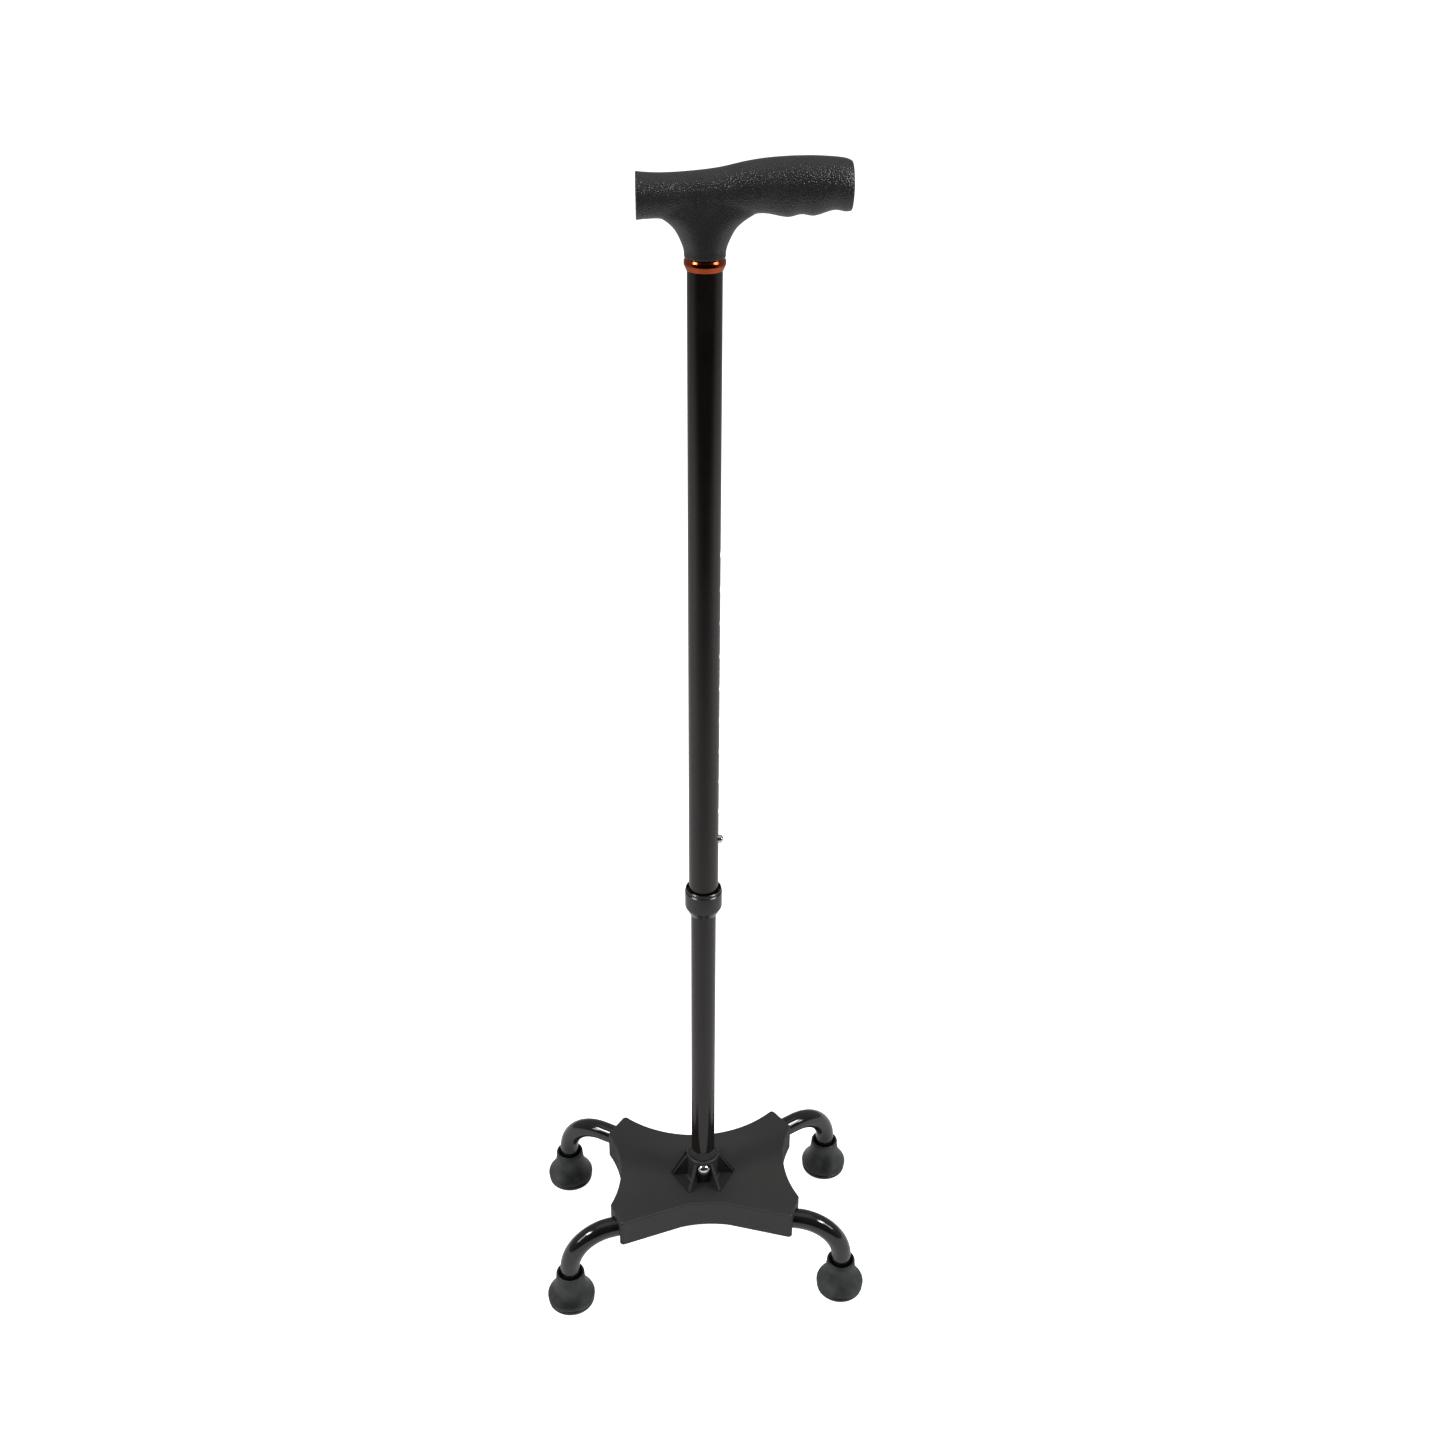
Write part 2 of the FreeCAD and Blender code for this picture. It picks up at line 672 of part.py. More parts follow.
def base_cover():
    """Moulded cover: bowed plan, skirt, leg notches, ribbed hub with bolt bosses."""
    body = new_body("base_cover")
    outline = draw_base_outline(new_sketch(body, "cover_outline", "XY_Plane", "cover_foot"))
    padded(body, outline, "cover_top - cover_foot", "cover_block")
    doc.recompute()
    top = amount("cover_top")
    inside_bow = amount("front_bow_out") + 5
    rounded(body, "corner_rounds", edges_where(body, lambda edge: (
        edge.BoundBox.ZLength > 5 and abs(edge.BoundBox.XMin) > inside_bow)), "cover_corner_round")
    inside = drawn_in(body, outline, "cavity_outline", "cover_wall")
    pocketed(body, inside, "cavity", "cover_top - cover_wall - cover_foot", reverse=True)
    rounded(body, "top_rounds", edges_where(body, lambda edge: edge.BoundBox.ZMin > top - 0.01),
            "cover_edge_round")

    hub = draw(new_sketch(body, "hub_outline"), [
        ("socket_radius - 1", "plate_top"),
        ("hub_radius + hub_fillet", "plate_top"),
        ("hub_radius + hub_fillet", "cover_top - hub_recess"),
        ("hub_radius", "cover_top - hub_recess + hub_fillet"),
        ("hub_radius", "hub_band_foot"),
        ("hub_band_radius", "hub_band_foot"),
        ("hub_band_radius", "hub_top - 0.8"),
        ("hub_band_radius - 0.8", "hub_top"),
        ("socket_radius - 1", "hub_top"),
    ], {2: ("hub_fillet", "right")})
    recess = new_sketch(body, "hub_recess", "XY_Plane", "cover_top")
    reach, half = "(hub_rib_reach + 1.5)", "(hub_rib_reach + 1.5) / 2"
    rise = f"{reach} * sqrt(3) / 2"
    draw(recess, [(reach, "0"), (half, rise), (f"-{half}", rise), (f"-{reach}", "0"),
                  (f"-{half}", f"-{rise}"), (half, f"-{rise}")])
    pocketed(body, recess, "hub_recess_cut", "hub_recess")
    turn = body.newObject("PartDesign::Revolution", "hub_turn")
    turn.Profile = hub
    turn.ReferenceAxis = (hub, ["V_Axis"])
    doc.recompute()

    web = draw(new_sketch(body, "rib_outline"), [
        ("hub_radius - 0.5", "plate_top + 0.5"),
        ("hub_rib_reach", "plate_top + 0.5"),
        ("hub_rib_reach", "cover_top - 0.4"),
        ("hub_band_radius", "hub_band_foot"),
        ("hub_radius - 0.5", "hub_band_foot"),
    ])
    rib = padded(body, web, "hub_rib_thickness", "rib", midplane=True)
    polar(body, [rib], "ribs", 6)
    boss = new_sketch(body, "bolt_boss")
    draw_circle(boss, "bolt_boss_radius", ("0", "bolt_height"))
    padded(body, boss, "2 * bolt_boss_reach", "bolt_boss_pad", midplane=True)
    doc.recompute()

    bore = new_sketch(body, "hub_bore", "XY_Plane", "hub_top + 1")
    draw_circle(bore, "socket_radius")
    pocketed(body, bore, "hub_bore_cut", "hub_top - plate_top + 2")
    bolt_hole = new_sketch(body, "bolt_hole")
    draw_circle(bolt_hole, "bolt_hole_radius", ("0", "bolt_height"))
    pocketed(body, bolt_hole, "bolt_hole_cut", "3 * bolt_boss_reach", midplane=True)

    arch, spring_line = "leg_radius + notch_clearance", "leg_height"
    for pair in LEG_PAIRS:
        for side_name, side in SIDES.items():
            notch = cross_leg_sketch(body, f"notch_{pair}_{side_name}", pair, side, "0")
            draw(notch, [
                (f"-({arch})", "cover_foot - 1"), (arch, "cover_foot - 1"),
                (arch, spring_line), (f"-({arch})", spring_line),
            ], {2: (f"({arch}) * 1.0001", "left")})
            pocketed(body, notch, f"notch_{pair}_{side_name}_cut", f"2 * {pair}_leg_inside + 1",
                     midplane=True)
    return body


def base_plate():
    """Steel plate under the cover, with a saddle pressed down over each leg."""
    body = new_body("base_plate")
    outline = draw_base_outline(new_sketch(body, "cover_outline_on_plate", "XY_Plane", "plate_foot"))
    sheet = drawn_in(body, outline, "plate_outline", "cover_wall + plate_gap")
    padded(body, sheet, "plate_top - plate_foot", "plate_sheet")
    doc.recompute()
    half = "saddle_width / 2"
    touch = f"leg_height + sqrt(leg_radius ^ 2 - ({half}) ^ 2)"
    for pair in LEG_PAIRS:
        for side_name, side in SIDES.items():
            sketch = cross_leg_sketch(body, f"saddle_{pair}_{side_name}", pair, side, "saddle_inset")
            draw(sketch, [
                (f"-{half}", "plate_foot + 1"), (f"-{half}", touch), (half, touch), (half, "plate_foot + 1"),
            ], {1: ("leg_radius", "right")})
            padded(body, sketch, f"{pair}_leg_inside - saddle_inset", f"saddle_{pair}_{side_name}_pad",
                   reverse=True)
            doc.recompute()
    return body


def shaft_socket():
    """Steel socket that stands on the plate and takes the inner tube's foot."""
    body = turned("shaft_socket", [
        ("inner_tube_radius", "plate_top"),
        ("socket_radius", "plate_top"),
        ("socket_radius", "socket_shoulder"),
        ("socket_lip", "socket_top"),
        ("inner_tube_radius", "socket_top"),
    ])
    bolt_hole = new_sketch(body, "bolt_hole")
    draw_circle(bolt_hole, "bolt_hole_radius", ("0", "bolt_height"))
    pocketed(body, bolt_hole, "bolt_hole_cut", "3 * socket_radius", midplane=True)
    return body


def leg(pair, side_name, side):
    """Steel tube: a straight run out of the cover, one bend, and down into its foot."""
    ends = LEG_PAIRS[pair]
    label = f"leg_{pair}_{side_name}"
    body = doc.addObject("PartDesign::Body", label)
    body.Label = label
    body.Placement = Placement(Vector(), Rotation(Vector(0, 0, 1), 45))
    bind(body, Placement__Rotation__Angle=leg_heading(pair, side),
         Placement__Base__x=f"{side} * {ends['foot_out']}",
         Placement__Base__y=f"{ends['foot_along']} - shaft_setback")
    along = f"({ends['foot_along']} - ({ends['mouth_along']}))"
    out = f"({ends['foot_out']} - ({ends['mouth_out']}))"
    run = f"sqrt({along} ^ 2 + {out} ^ 2) + {pair}_leg_inside"

    route = new_sketch(body, "route")
    inner, knee, drop, sole = (
        (f"-({run})", "leg_height"), ("-leg_bend", "leg_height"),
        ("0", "leg_height - leg_bend"), ("0", "leg_foot"))
    spots = [Vector(amount(x), amount(y), 0) for x, y in (inner, knee, drop, sole)]
    straight = route.addGeometry(Part.LineSegment(spots[0], spots[1]))
    centre = Vector(spots[1].x, spots[2].y, 0)
    bend = route.addGeometry(Part.ArcOfCircle(
        Part.Circle(centre, Vector(0, 0, 1), amount("leg_bend")), 0, math.pi / 2))
    fall = route.addGeometry(Part.LineSegment(spots[2], spots[3]))
    route.addConstraint(Sketcher.Constraint("Coincident", straight, 2, bend, 2))
    route.addConstraint(Sketcher.Constraint("Coincident", bend, 1, fall, 1))
    fix_point(route, straight, 1, inner)
    fix_point(route, bend, 2, knee)
    fix_point(route, bend, 1, drop)
    fix_point(route, fall, 2, sole)
    index = route.addConstraint(Sketcher.Constraint("Radius", bend, amount("leg_bend")))
    route.setExpression(f"Constraints[{index}]", bound("leg_bend"))

    ring = new_sketch(body, "ring", "YZ_Plane", f"-({run})")
    draw_circle(ring, "leg_radius", ("0", "leg_height"))
    draw_circle(ring, "leg_radius - leg_wall", ("0", "leg_height"))
    pipe = body.newObject("PartDesign::AdditivePipe", "tube")
    pipe.Profile = ring
    pipe.Spine = (route, ["Edge1", "Edge2", "Edge3"])
    return body


def foot(pair, side_name, side):
    """Rubber foot: tall neck, flared shoulder, grooved rim, ringed tread."""
    ends = LEG_PAIRS[pair]
    label = f"foot_{pair}_{side_name}"
    groove, depth = "foot_groove_height", "foot_groove_depth"
    body = turned(label, [
        ("0", "leg_foot"), ("0", "0"),
        ("foot_neck_radius - 3", "0"), ("foot_neck_radius - 3", "foot_tread_depth"),
        ("foot_neck_radius", "foot_tread_depth"), ("foot_neck_radius", "0"),
        ("foot_sole_radius - 3.5", "0"), ("foot_sole_radius - 3.5", "foot_tread_depth"),
        ("foot_sole_radius - 2", "foot_tread_depth"), ("foot_sole_radius - 2", "0"),
        ("foot_sole_radius", "0"), ("foot_rim_radius", "1"),
        ("foot_rim_radius + 0.2", f"{groove} - {depth}"), (f"foot_rim_radius + 0.2 - {depth}", groove),
        ("foot_rim_radius + 0.3", f"{groove} + {depth}"),
        ("foot_radius", "foot_flare - 1.6"), ("foot_radius - 0.9", "foot_flare"),
        ("foot_neck_base", "foot_shoulder"),
        ("foot_neck_radius + 0.6", "foot_height - 0.8"), ("foot_neck_radius", "foot_height"),
        ("leg_radius", "foot_height"), ("leg_radius", "leg_foot"),
    ], {16: ("foot_flare_radius", "right")})
    return bind(body, Placement__Base__x=f"{side} * {ends['foot_out']}",
                Placement__Base__y=f"{ends['foot_along']} - shaft_setback")


def carve_disc_room(foot_body):
    """Room moulded round the steel disc under the leg's end."""
    sketch = draw(new_sketch(foot_body, "disc_room"), [
        ("0", "disc_foot"), ("disc_radius", "disc_foot"), ("disc_radius", "disc_top"), ("0", "disc_top")])
    groove = foot_body.newObject("PartDesign::Groove", "disc_room_cut")
    groove.Profile = sketch
    groove.ReferenceAxis = (sketch, ["V_Axis"])
    return groove


def foot_discs():
    """The four steel discs moulded into the feet, one under each leg's end."""
    discs = []
    for pair, ends in LEG_PAIRS.items():
        for side_name, side in SIDES.items():
            discs.append(cylinder(f"disc_{pair}_{side_name}", "disc_radius", "disc_top - disc_foot",
                                  (f"{side} * {ends['foot_out']}", ends["foot_along"], "disc_foot")))
    group = doc.addObject("Part::Compound", "foot_discs")
    group.Links = discs
    return stand_on_axis(group)


# ---------------------------------------------------------------- cross bolt
def hub_bolt():
    """Dome-headed bolt through the hub, the socket and the inner tube."""
    body = new_body("hub_bolt")
    bind(body, Placement__Base__z="bolt_height")
    seat = "-bolt_boss_reach"
    sketch = draw(new_sketch(body, "bolt_outline", "YZ_Plane"), [
        (f"{seat} - bolt_head_depth", "0"),
        (f"{seat} - bolt_head_depth", "dome_flat"),
        (f"{seat} - 0.6", "bolt_head_radius"),
        (seat, "bolt_head_radius"),
        (seat, "bolt_radius"),
        (f"{seat} + bolt_length - 0.6", "bolt_radius"),
        (f"{seat} + bolt_length", "bolt_radius - 0.6"),
        (f"{seat} + bolt_length", "0"),
    ], {1: (dome_radius("bolt_head_depth - 0.6", "bolt_head_radius - dome_flat"), "right")})
    turn = body.newObject("PartDesign::Revolution", "bolt_turn")
    turn.Profile = sketch
    turn.ReferenceAxis = (sketch, ["H_Axis"])
    return body


def hub_washer():
    body = new_body("hub_washer")
    bind(body, Placement__Base__z="bolt_height")
    sketch = new_sketch(body, "washer_outline", lift="-bolt_boss_reach")
    draw_circle(sketch, "washer_radius")
    draw_circle(sketch, "bolt_hole_radius")
    padded(body, sketch, "washer_thickness", "washer_pad", reverse=True)
    return body


def hub_nut():
    body = new_body("hub_nut")
    bind(body, Placement__Base__z="bolt_height")
    sketch = new_sketch(body, "nut_outline", lift="-(bolt_boss_reach + washer_thickness)")
    corner, half_corner, flat = "nut_flats / sqrt(3)", "nut_flats / sqrt(3) / 2", "nut_flats / 2"
    draw(sketch, [(corner, "0"), (half_corner, flat), (f"-{half_corner}", flat),
                  (f"-{corner}", "0"), (f"-{half_corner}", f"-{flat}"), (half_corner, f"-{flat}")])
    draw_circle(sketch, "bolt_radius")
    padded(body, sketch, "nut_depth", "nut_pad", reverse=True)
    return body


# ---------------------------------------------------------------- the whole cane
core_blank = handle_core_blank()
pieces = [
    lower_tube(), glide_plug(), snap_spring(), snap_button(),
    upper_tube(), thread_sleeve(), clamp_ring(), lock_nut(),
    neck_ring(), handle_core(core_blank), handle_grip(core_blank),
    base_cover(), base_plate(), shaft_socket(), hub_bolt(), hub_washer(), hub_nut(), foot_discs(),
]
for leg_pair in LEG_PAIRS:
    for leg_side, sign in SIDES.items():
        pieces.append(leg(leg_pair, leg_side, sign))
        rubber = foot(leg_pair, leg_side, sign)
        doc.recompute()
        carve_disc_room(rubber)
        pieces.append(rubber)
doc.recompute()

for feature in doc.Objects:
    if {"Invalid", "Error"} & set(feature.State):
        raise RuntimeError(f"{feature.Label} failed: {feature.State}")
for piece in pieces:
    if piece.Shape.isNull() or not piece.Shape.isValid() or not piece.Shape.Solids:
        raise RuntimeError(f"{piece.Label} has no valid solid")
    print(f"{piece.Label}: {len(piece.Shape.Solids)} solid(s), {piece.Shape.Volume / 1000:.2f} cm3")

os.makedirs("parts", exist_ok=True)
for piece in pieces:
    piece.Shape.exportStep(f"parts/{piece.Label}.step")
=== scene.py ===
# %% [markdown]
# # A quad walking cane
# A telescoping aluminium shaft stands on a four-legged base, with a moulded grip on top. The
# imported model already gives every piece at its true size. This lesson keeps the tubes, the base
# cover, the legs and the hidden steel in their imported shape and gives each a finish. It remodels
# what the hand and the eye meet first: the grip, the copper ring, the collar nut and the feet.

# %% Load the frame
import math

import bmesh
import bpy
from mathutils import Matrix, Vector


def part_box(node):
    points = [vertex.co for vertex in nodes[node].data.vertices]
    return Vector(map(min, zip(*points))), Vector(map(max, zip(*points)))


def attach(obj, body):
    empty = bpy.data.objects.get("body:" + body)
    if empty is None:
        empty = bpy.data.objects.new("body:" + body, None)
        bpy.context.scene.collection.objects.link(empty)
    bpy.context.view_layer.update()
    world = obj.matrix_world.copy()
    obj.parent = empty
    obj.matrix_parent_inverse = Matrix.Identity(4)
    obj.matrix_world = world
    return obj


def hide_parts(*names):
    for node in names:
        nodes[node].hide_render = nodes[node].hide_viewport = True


MM = 0.001
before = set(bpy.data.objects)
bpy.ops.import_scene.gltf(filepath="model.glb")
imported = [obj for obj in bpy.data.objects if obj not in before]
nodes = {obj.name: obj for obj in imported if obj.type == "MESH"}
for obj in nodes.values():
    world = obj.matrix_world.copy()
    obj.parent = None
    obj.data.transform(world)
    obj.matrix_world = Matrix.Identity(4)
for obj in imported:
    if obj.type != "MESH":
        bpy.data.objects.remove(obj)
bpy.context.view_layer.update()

# %% [markdown]
# ## The shaft's axis
# Nearly everything on a cane is round and shares one axis. The origin is in the middle of the
# footprint, so the axis stands a little way from it. Its place is read from the outer tube.

# %% Find the axis
tube_low, tube_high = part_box("upper_tube")
AXIS = Vector(((tube_low[0] + tube_high[0]) / 2, (tube_low[1] + tube_high[1]) / 2, 0))
print("the shaft stands at", [round(value / MM, 2) for value in AXIS], "mm")

# %% [markdown]
# ## The camera
# A product shot of a tall thin object is taken from above its grip, looking down at the base,
# so the base shows its top while the grip shows its side. The camera stands nearly a metre in
# front of the shaft, a little higher than the grip, and is turned slightly round the shaft.

# %% Stand the camera
FOCAL_IN_SENSOR_WIDTHS = 1.11220761
CAMERA_PLACE = (13.09, -977.72, 1090.35)  # millimetres from the foot of the axis
TURN_ROUND_SHAFT, LOOK_DOWN, ROLL = -4.05, 30.17, 0.51  # degrees
lens_data = bpy.data.cameras.new("studio_camera")
lens_data.sensor_width = 36
lens_data.lens = lens_data.sensor_width * FOCAL_IN_SENSOR_WIDTHS
camera = bpy.data.objects.new("studio_camera", lens_data)
bpy.context.scene.collection.objects.link(camera)
camera.matrix_world = (
    Matrix.Translation(AXIS)
    @ Matrix.Rotation(math.radians(TURN_ROUND_SHAFT), 4, "Z")
    @ Matrix.Translation(Vector(CAMERA_PLACE) * MM)
    @ Matrix.Rotation(math.radians(90 - LOOK_DOWN), 4, "X")
    @ Matrix.Rotation(math.radians(ROLL), 4, "Z")
)
bpy.context.scene.camera = camera
print("lens", round(lens_data.lens, 2), "mm at", [round(v, 3) for v in camera.matrix_world.translation])

# %% [markdown]
# ## The floor and the light
# The floor is a white sweep. A black gloss tube shows almost nothing but its surroundings, so
# what stands round it matters more than its own colour: the sides and the back are brighter,
# which draws a light line down each edge, and the front is dim, which leaves the middle nearly
# black. To the camera itself both the floor and the room are plain white. From below, the floor
# is clear, so the underside can be looked at too.

# %% Lay the floor
def add_range(tree, value, low, high, start=0.0, end=1.0):
    """Maps the span low to high of a value on to start to end."""
    fade = tree.nodes.new("ShaderNodeMapRange")
    for socket, number in (("From Min", low), ("From Max", high), ("To Min", start), ("To Max", end)):
        fade.inputs[socket].default_value = number
    tree.links.new(value, fade.inputs["Value"])
    return fade.outputs["Result"]


def mix_shaders(tree, factor, first, second, output):
    """Sends one of two shaders, chosen by a factor, to a material's or the world's output."""
    choose = tree.nodes.new("ShaderNodeMixShader")
    tree.links.new(factor, choose.inputs["Fac"])
    tree.links.new(first.outputs[0], choose.inputs[1])
    tree.links.new(second.outputs[0], choose.inputs[2])
    tree.links.new(choose.outputs[0], tree.nodes[output].inputs["Surface"])


def split_axis(tree, vector, axis):
    """One coordinate of a vector socket."""
    split = tree.nodes.new("ShaderNodeSeparateXYZ")
    tree.links.new(vector, split.inputs[0])
    return split.outputs[axis]


FLOOR_REACH = 16
FLOOR_FADE = (-1.6, -0.3, 0.03, 0.85)  # two Y values in metres, and the floor's white at each


def floor_material():
    """A matt white that dims towards the front, except to the camera itself."""
    material = bpy.data.materials.new("white_sweep")
    material.use_nodes = True
    tree = material.node_tree
    shader = tree.nodes["Principled BSDF"]
    shader.inputs["Roughness"].default_value = 0.9
    shader.inputs["Specular IOR Level"].default_value = 0.1
    shader.inputs["Emission Color"].default_value = (1, 1, 1, 1)
    place = tree.nodes.new("ShaderNodeTexCoord").outputs["Object"]
    to_camera = tree.nodes.new("ShaderNodeLightPath").outputs["Is Camera Ray"]
    mix = tree.nodes.new("ShaderNodeMix")
    mix.data_type = "RGBA"
    mix.inputs["B"].default_value = (0.92, 0.92, 0.92, 1)
    tree.links.new(add_range(tree, split_axis(tree, place, "Y"), *FLOOR_FADE), mix.inputs["A"])
    tree.links.new(to_camera, mix.inputs["Factor"])
    tree.links.new(mix.outputs["Result"], shader.inputs["Base Color"])
    tree.links.new(to_camera, shader.inputs["Emission Strength"])
    from_below = tree.nodes.new("ShaderNodeNewGeometry").outputs["Backfacing"]
    clear = tree.nodes.new("ShaderNodeBsdfTransparent")
    mix_shaders(tree, from_below, shader, clear, "Material Output")
    return material


sweep = bmesh.new()
bmesh.ops.create_grid(sweep, x_segments=8, y_segments=8, size=FLOOR_REACH)
floor_mesh = bpy.data.meshes.new("floor")
sweep.to_mesh(floor_mesh)
sweep.free()
floor = bpy.data.objects.new("floor", floor_mesh)
bpy.context.scene.collection.objects.link(floor)
floor_mesh.materials.append(floor_material())
print("floor", 2 * FLOOR_REACH, "m square")

# %% [markdown]
# ## The lamps
# Two wide lamps stand high at the sides and put the paired highlights on the ring and the
# collar. Two tall panels only edge the rims, and a large weak lamp hangs overhead.

# %% Light the room
ROOM_FADE = (-0.8, 0.2, 0.025, 0.27)  # two Y parts of a direction, and the room's white at each
SOFTBOXES = {  # place, the point it faces, width and height in metres, watts
    "panel_left": ((-1.5, -0.62, 1.4), (0, 0, 0.6), 0.3, 1.3, 9),
    "panel_right": ((1.5, -0.55, 1.4), (0, 0, 0.6), 0.3, 1.3, 9),
    "key_left": ((-1.9, -0.8, 2.3), (0, 0, 0.5), 0.95, 0.5, 28),
    "key_right": ((1.9, -0.8, 2.3), (0, 0, 0.5), 0.95, 0.5, 28),
    "floor_wash": ((0, 0.2, 3.2), (0, 0.2, 0), 3.2, 2.4, 9),
}


def studio_world():
    """Pale behind and beside the cane, dim in front of it, plain white to the camera."""
    world = bpy.data.worlds.new("studio")
    world.use_nodes = True
    tree = world.node_tree
    room = tree.nodes["Background"]
    seen = tree.nodes.new("ShaderNodeBackground")
    seen.inputs["Color"].default_value = (1, 1, 1, 1)
    direction = tree.nodes.new("ShaderNodeTexCoord").outputs["Generated"]
    to_camera = tree.nodes.new("ShaderNodeLightPath").outputs["Is Camera Ray"]
    fade = add_range(tree, split_axis(tree, direction, "Y"), *ROOM_FADE)
    tree.links.new(fade, room.inputs["Color"])
    mix_shaders(tree, to_camera, room, seen, "World Output")
    return world


def softbox(name, place, aim, width, height, watts):
    """A rectangular soft light that faces a point."""
    data = bpy.data.lights.new(name, "AREA")
    data.shape = "RECTANGLE"
    data.size, data.size_y = width, height
    data.energy = watts
    light = bpy.data.objects.new(name, data)
    bpy.context.scene.collection.objects.link(light)
    light.location = place
    light.rotation_euler = (Vector(aim) - Vector(place)).to_track_quat("-Z", "Y").to_euler()


scene = bpy.context.scene
scene.world = studio_world()
scene.view_settings.view_transform = "Standard"
for lamp, settings in SOFTBOXES.items():
    softbox(lamp, *settings)
print("lights:", list(SOFTBOXES))

# %% [markdown]
# ## Shared surface effects
# Every finish on the cane varies a little: moulded plastic has a fine grain, and handled gloss
# shows faint smears. Each effect that several finishes use is built once, as a node group with
# named sockets, and each finish places it with its own sizes.

# %% Build the effect groups
def effect_group(name, inputs, outputs):
    """An empty shader group; inputs are (name, default), outputs are names of plain values."""
    tree = bpy.data.node_groups.new(name, "ShaderNodeTree")
    tree.interface.new_socket("Vector", in_out="INPUT", socket_type="NodeSocketVector")
    for label, value in inputs:
        socket = tree.interface.new_socket(label, in_out="INPUT", socket_type="NodeSocketFloat")
        socket.default_value = value
    for label in outputs:
        tree.interface.new_socket(label, in_out="OUTPUT", socket_type="NodeSocketFloat")
    return tree, tree.nodes.new("NodeGroupInput"), tree.nodes.new("NodeGroupOutput")


def add_noise(tree, vector, scale, detail):
    """A noise texture on a vector socket; scale is a socket or a number of bumps per metre."""
    noise = tree.nodes.new("ShaderNodeTexNoise")
    noise.inputs["Detail"].default_value = detail
    tree.links.new(vector, noise.inputs["Vector"])
    if isinstance(scale, (int, float)):
        noise.inputs["Scale"].default_value = scale
    else:
        tree.links.new(scale, noise.inputs["Scale"])
    return noise


def mould_grain():
    """Fine spark-eroded texture: Height for the bump, Tone for slow changes of shade."""
    sizes = [("Grain", 1500.0), ("Patch", 30.0)]
    tree, start, end = effect_group("mould_grain", sizes, ["Height", "Tone"])
    fine = add_noise(tree, start.outputs["Vector"], start.outputs["Grain"], 3)
    slow = add_noise(tree, start.outputs["Vector"], start.outputs["Patch"], 2)
    tree.links.new(add_range(tree, fine.outputs[0], 0.3, 0.7), end.inputs["Height"])
    tree.links.new(add_range(tree, slow.outputs[0], 0.35, 0.65), end.inputs["Tone"])
    return tree


def handling_marks():
    """Broad smears left by wiping and handling."""
    tree, start, end = effect_group("handling_marks", [("Smear", 14.0)], ["Smear"])
    smear = add_noise(tree, start.outputs["Vector"], start.outputs["Smear"], 4)
    tree.links.new(add_range(tree, smear.outputs[0], 0.35, 0.7), end.inputs["Smear"])
    return tree


GRAIN_GROUP = mould_grain()
MARKS_GROUP = handling_marks()
print("effect groups:", GRAIN_GROUP.name, MARKS_GROUP.name)

# %% [markdown]
# ## Finishes
# One helper makes a finish from a pair of close shades, a pair of roughness values and the depth
# of its grain. The shades are mixed by the slow pattern, the roughness by the smears, and the
# grain goes into a bump. What is the same all over, such as a clear coat, is set on the shader.

# %% Make a finish
def blank_finish(name, **constants):
    """A new material, its tree, its shader and its object coordinates."""
    material = bpy.data.materials.new(name)
    material.use_nodes = True
    tree = material.node_tree
    shader = tree.nodes["Principled BSDF"]
    for socket, value in constants.items():
        shader.inputs[socket.replace("_", " ")].default_value = value
    place = tree.nodes.new("ShaderNodeTexCoord").outputs["Object"]
    return material, tree, shader, place


def add_effect(tree, group, place, **amounts):
    """Places an effect group in a material with its own sizes."""
    effect = tree.nodes.new("ShaderNodeGroup")
    effect.node_tree = group
    tree.links.new(place, effect.inputs["Vector"])
    for label, value in amounts.items():
        effect.inputs[label].default_value = value
    return effect


def add_shades(tree, mask, first, second):
    """A colour that goes from the first shade to the second with the mask."""
    mix = tree.nodes.new("ShaderNodeMix")
    mix.data_type = "RGBA"
    mix.inputs["A"].default_value = (*first, 1)
    mix.inputs["B"].default_value = (*second, 1)
    tree.links.new(mask, mix.inputs["Factor"])
    return mix.outputs["Result"]


def add_bump(tree, shader, height, depth):
    """Raises the surface by a pattern; depth is in metres."""
    bump = tree.nodes.new("ShaderNodeBump")
    bump.inputs["Distance"].default_value = depth
    bump.inputs["Strength"].default_value = 1.0
    tree.links.new(height, bump.inputs["Height"])
    tree.links.new(bump.outputs[0], shader.inputs["Normal"])


def plain_finish(name, shades, roughness, grain, depth, patch=30.0, smear=14.0, **constants):
    """A finish of two close shades with grain and smears."""
    material, tree, shader, place = blank_finish(name, **constants)
    texture = add_effect(tree, GRAIN_GROUP, place, Grain=grain, Patch=patch)
    marks = add_effect(tree, MARKS_GROUP, place, Smear=smear)
    tree.links.new(add_shades(tree, texture.outputs["Tone"], *shades), shader.inputs["Base Color"])
    worn = add_range(tree, marks.outputs["Smear"], 0, 1, *roughness)
    tree.links.new(worn, shader.inputs["Roughness"])
    add_bump(tree, shader, texture.outputs["Height"], depth)
    return material


